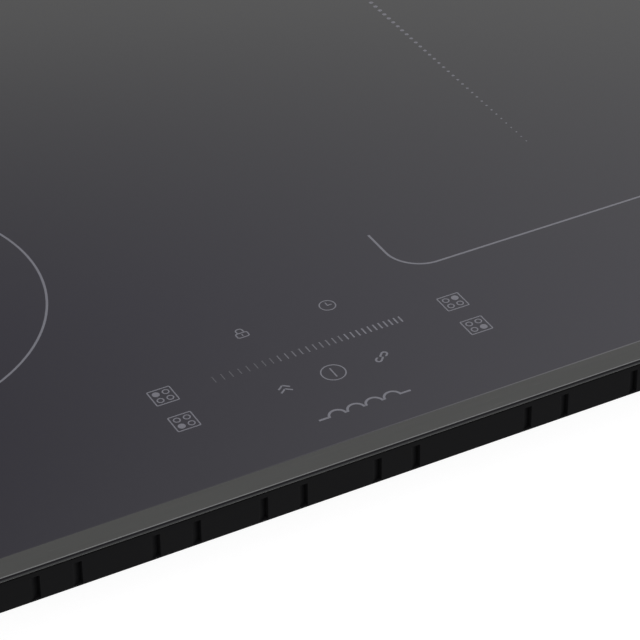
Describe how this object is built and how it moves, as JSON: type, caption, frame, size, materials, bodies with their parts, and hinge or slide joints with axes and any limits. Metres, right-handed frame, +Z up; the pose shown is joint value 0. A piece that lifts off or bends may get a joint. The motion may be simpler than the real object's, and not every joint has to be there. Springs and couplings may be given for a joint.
{
  "type": "induction hob",
  "caption": "Built-in induction hob: a black glass top with printed zones and touch keys over a plastic base with coils, fans and power boards inside.",
  "frame": {"origin": "centre of the footprint, at the underside of the base", "axes": "+Z up out of the glass, +X to the right as seen from the user's side, +Y away from the user"},
  "size_m": [0.59, 0.52, 0.056],
  "materials": {
    "black_glass": "polished black ceramic glass",
    "housing": "fine matte moulded plastic",
    "foam": "closed-cell foam",
    "tray": "rolled sheet",
    "carrier": "moulded plastic",
    "copper": "enamelled stranded wire",
    "mica": "pressed mica sheet",
    "ferrite": "sintered ferrite",
    "black_plastic": "moulded plastic",
    "board": "lacquered circuit board",
    "heat_sink": "extruded",
    "capacitor": "film capacitor case",
    "ceramic": "pale moulded body",
    "steel": "zinc plated",
    "lamp": "white light guide",
    "ribbon": "flat cable"
  },
  "bodies": {
    "hob": {"glass_top": "black_glass", "glass_seal": "foam", "base_housing": "housing", "worktop_gasket": "foam", "coil_tray": "tray", "coil_carrier_front_left": "carrier", "coil_winding_front_left": "copper", "mica_sheet_front_left": "mica", "ferrite_star_front_left": "ferrite", "temperature_sensor_front_left": "black_plastic", "coil_carrier_rear_left": "carrier", "coil_winding_rear_left": "copper", "mica_sheet_rear_left": "mica", "ferrite_star_rear_left": "ferrite", "temperature_sensor_rear_left": "black_plastic", "coil_carrier_front_right": "carrier", "coil_winding_front_right": "copper", "mica_sheet_front_right": "mica", "ferrite_star_front_right": "ferrite", "temperature_sensor_front_right": "black_plastic", "coil_carrier_rear_right": "carrier", "coil_winding_rear_right": "copper", "mica_sheet_rear_right": "mica", "ferrite_star_rear_right": "ferrite", "temperature_sensor_rear_right": "black_plastic", "power_board_left": "board", "heat_sink_left": "heat_sink", "power_transistors_left": "black_plastic", "bus_capacitor_left": "capacitor", "resonance_capacitor_left": "capacitor", "fan_casing_left": "black_plastic", "power_board_right": "board", "heat_sink_right": "heat_sink", "power_transistors_right": "black_plastic", "bus_capacitor_right": "capacitor", "resonance_capacitor_right": "capacitor", "fan_casing_right": "black_plastic", "filter_board": "board", "filter_choke": "copper", "filter_capacitor": "capacitor", "mains_fuse": "ceramic", "terminal_block": "ceramic", "clamp_screw_front_left": "steel", "clamp_screw_front_right": "steel", "clamp_screw_rear_left": "steel", "clamp_screw_rear_right": "steel", "control_carrier": "black_plastic", "control_board": "board", "light_guide": "lamp", "control_ribbon": "ribbon"},
    "fan_wheel_left": {"fan_wheel_left": "black_plastic"},
    "fan_wheel_right": {"fan_wheel_right": "black_plastic"},
    "terminal_lid": {"terminal_lid": "black_plastic"},
    "cable_clamp": {"cable_clamp_bar": "black_plastic", "cable_clamp_screw_left": "steel", "cable_clamp_screw_right": "steel"},
    "worktop_clamp_front_left": {"worktop_clamp_front_left": "steel"},
    "worktop_clamp_front_right": {"worktop_clamp_front_right": "steel"},
    "worktop_clamp_rear_left": {"worktop_clamp_rear_left": "steel"},
    "worktop_clamp_rear_right": {"worktop_clamp_rear_right": "steel"}
  },
  "joints": [
    {"name": "fan_left_spin", "type": "hinge", "parent": "hob", "child": "fan_wheel_left", "pos_m": [-0.122, -0.108, 0.0145], "axis": [0, 0, 1], "continuous": true},
    {"name": "fan_right_spin", "type": "hinge", "parent": "hob", "child": "fan_wheel_right", "pos_m": [0.122, -0.108, 0.0145], "axis": [0, 0, 1], "continuous": true},
    {"name": "worktop_clamp_front_left_swing", "type": "hinge", "parent": "hob", "child": "worktop_clamp_front_left", "pos_m": [-0.259, -0.195, 0.00525], "axis": [0, 0, 1], "range_deg": [0, 90]},
    {"name": "worktop_clamp_front_right_swing", "type": "hinge", "parent": "hob", "child": "worktop_clamp_front_right", "pos_m": [0.259, -0.195, 0.00525], "axis": [0, 0, -1], "range_deg": [0, 90]},
    {"name": "worktop_clamp_rear_left_swing", "type": "hinge", "parent": "hob", "child": "worktop_clamp_rear_left", "pos_m": [-0.259, 0.224, 0.00525], "axis": [0, 0, -1], "range_deg": [0, 90]},
    {"name": "worktop_clamp_rear_right_swing", "type": "hinge", "parent": "hob", "child": "worktop_clamp_rear_right", "pos_m": [0.259, 0.224, 0.00525], "axis": [0, 0, 1], "range_deg": [0, 90]},
    {"name": "terminal_lid_hinge", "type": "hinge", "parent": "hob", "child": "terminal_lid", "pos_m": [0.178, 0.174, 0.0019], "axis": [-1, 0, 0], "range_deg": [0, 100]},
    {"name": "cable_clamp_slide", "type": "slide", "parent": "hob", "child": "cable_clamp", "axis": [0, 0, -1], "range_m": [0, 0.005]}
  ]
}
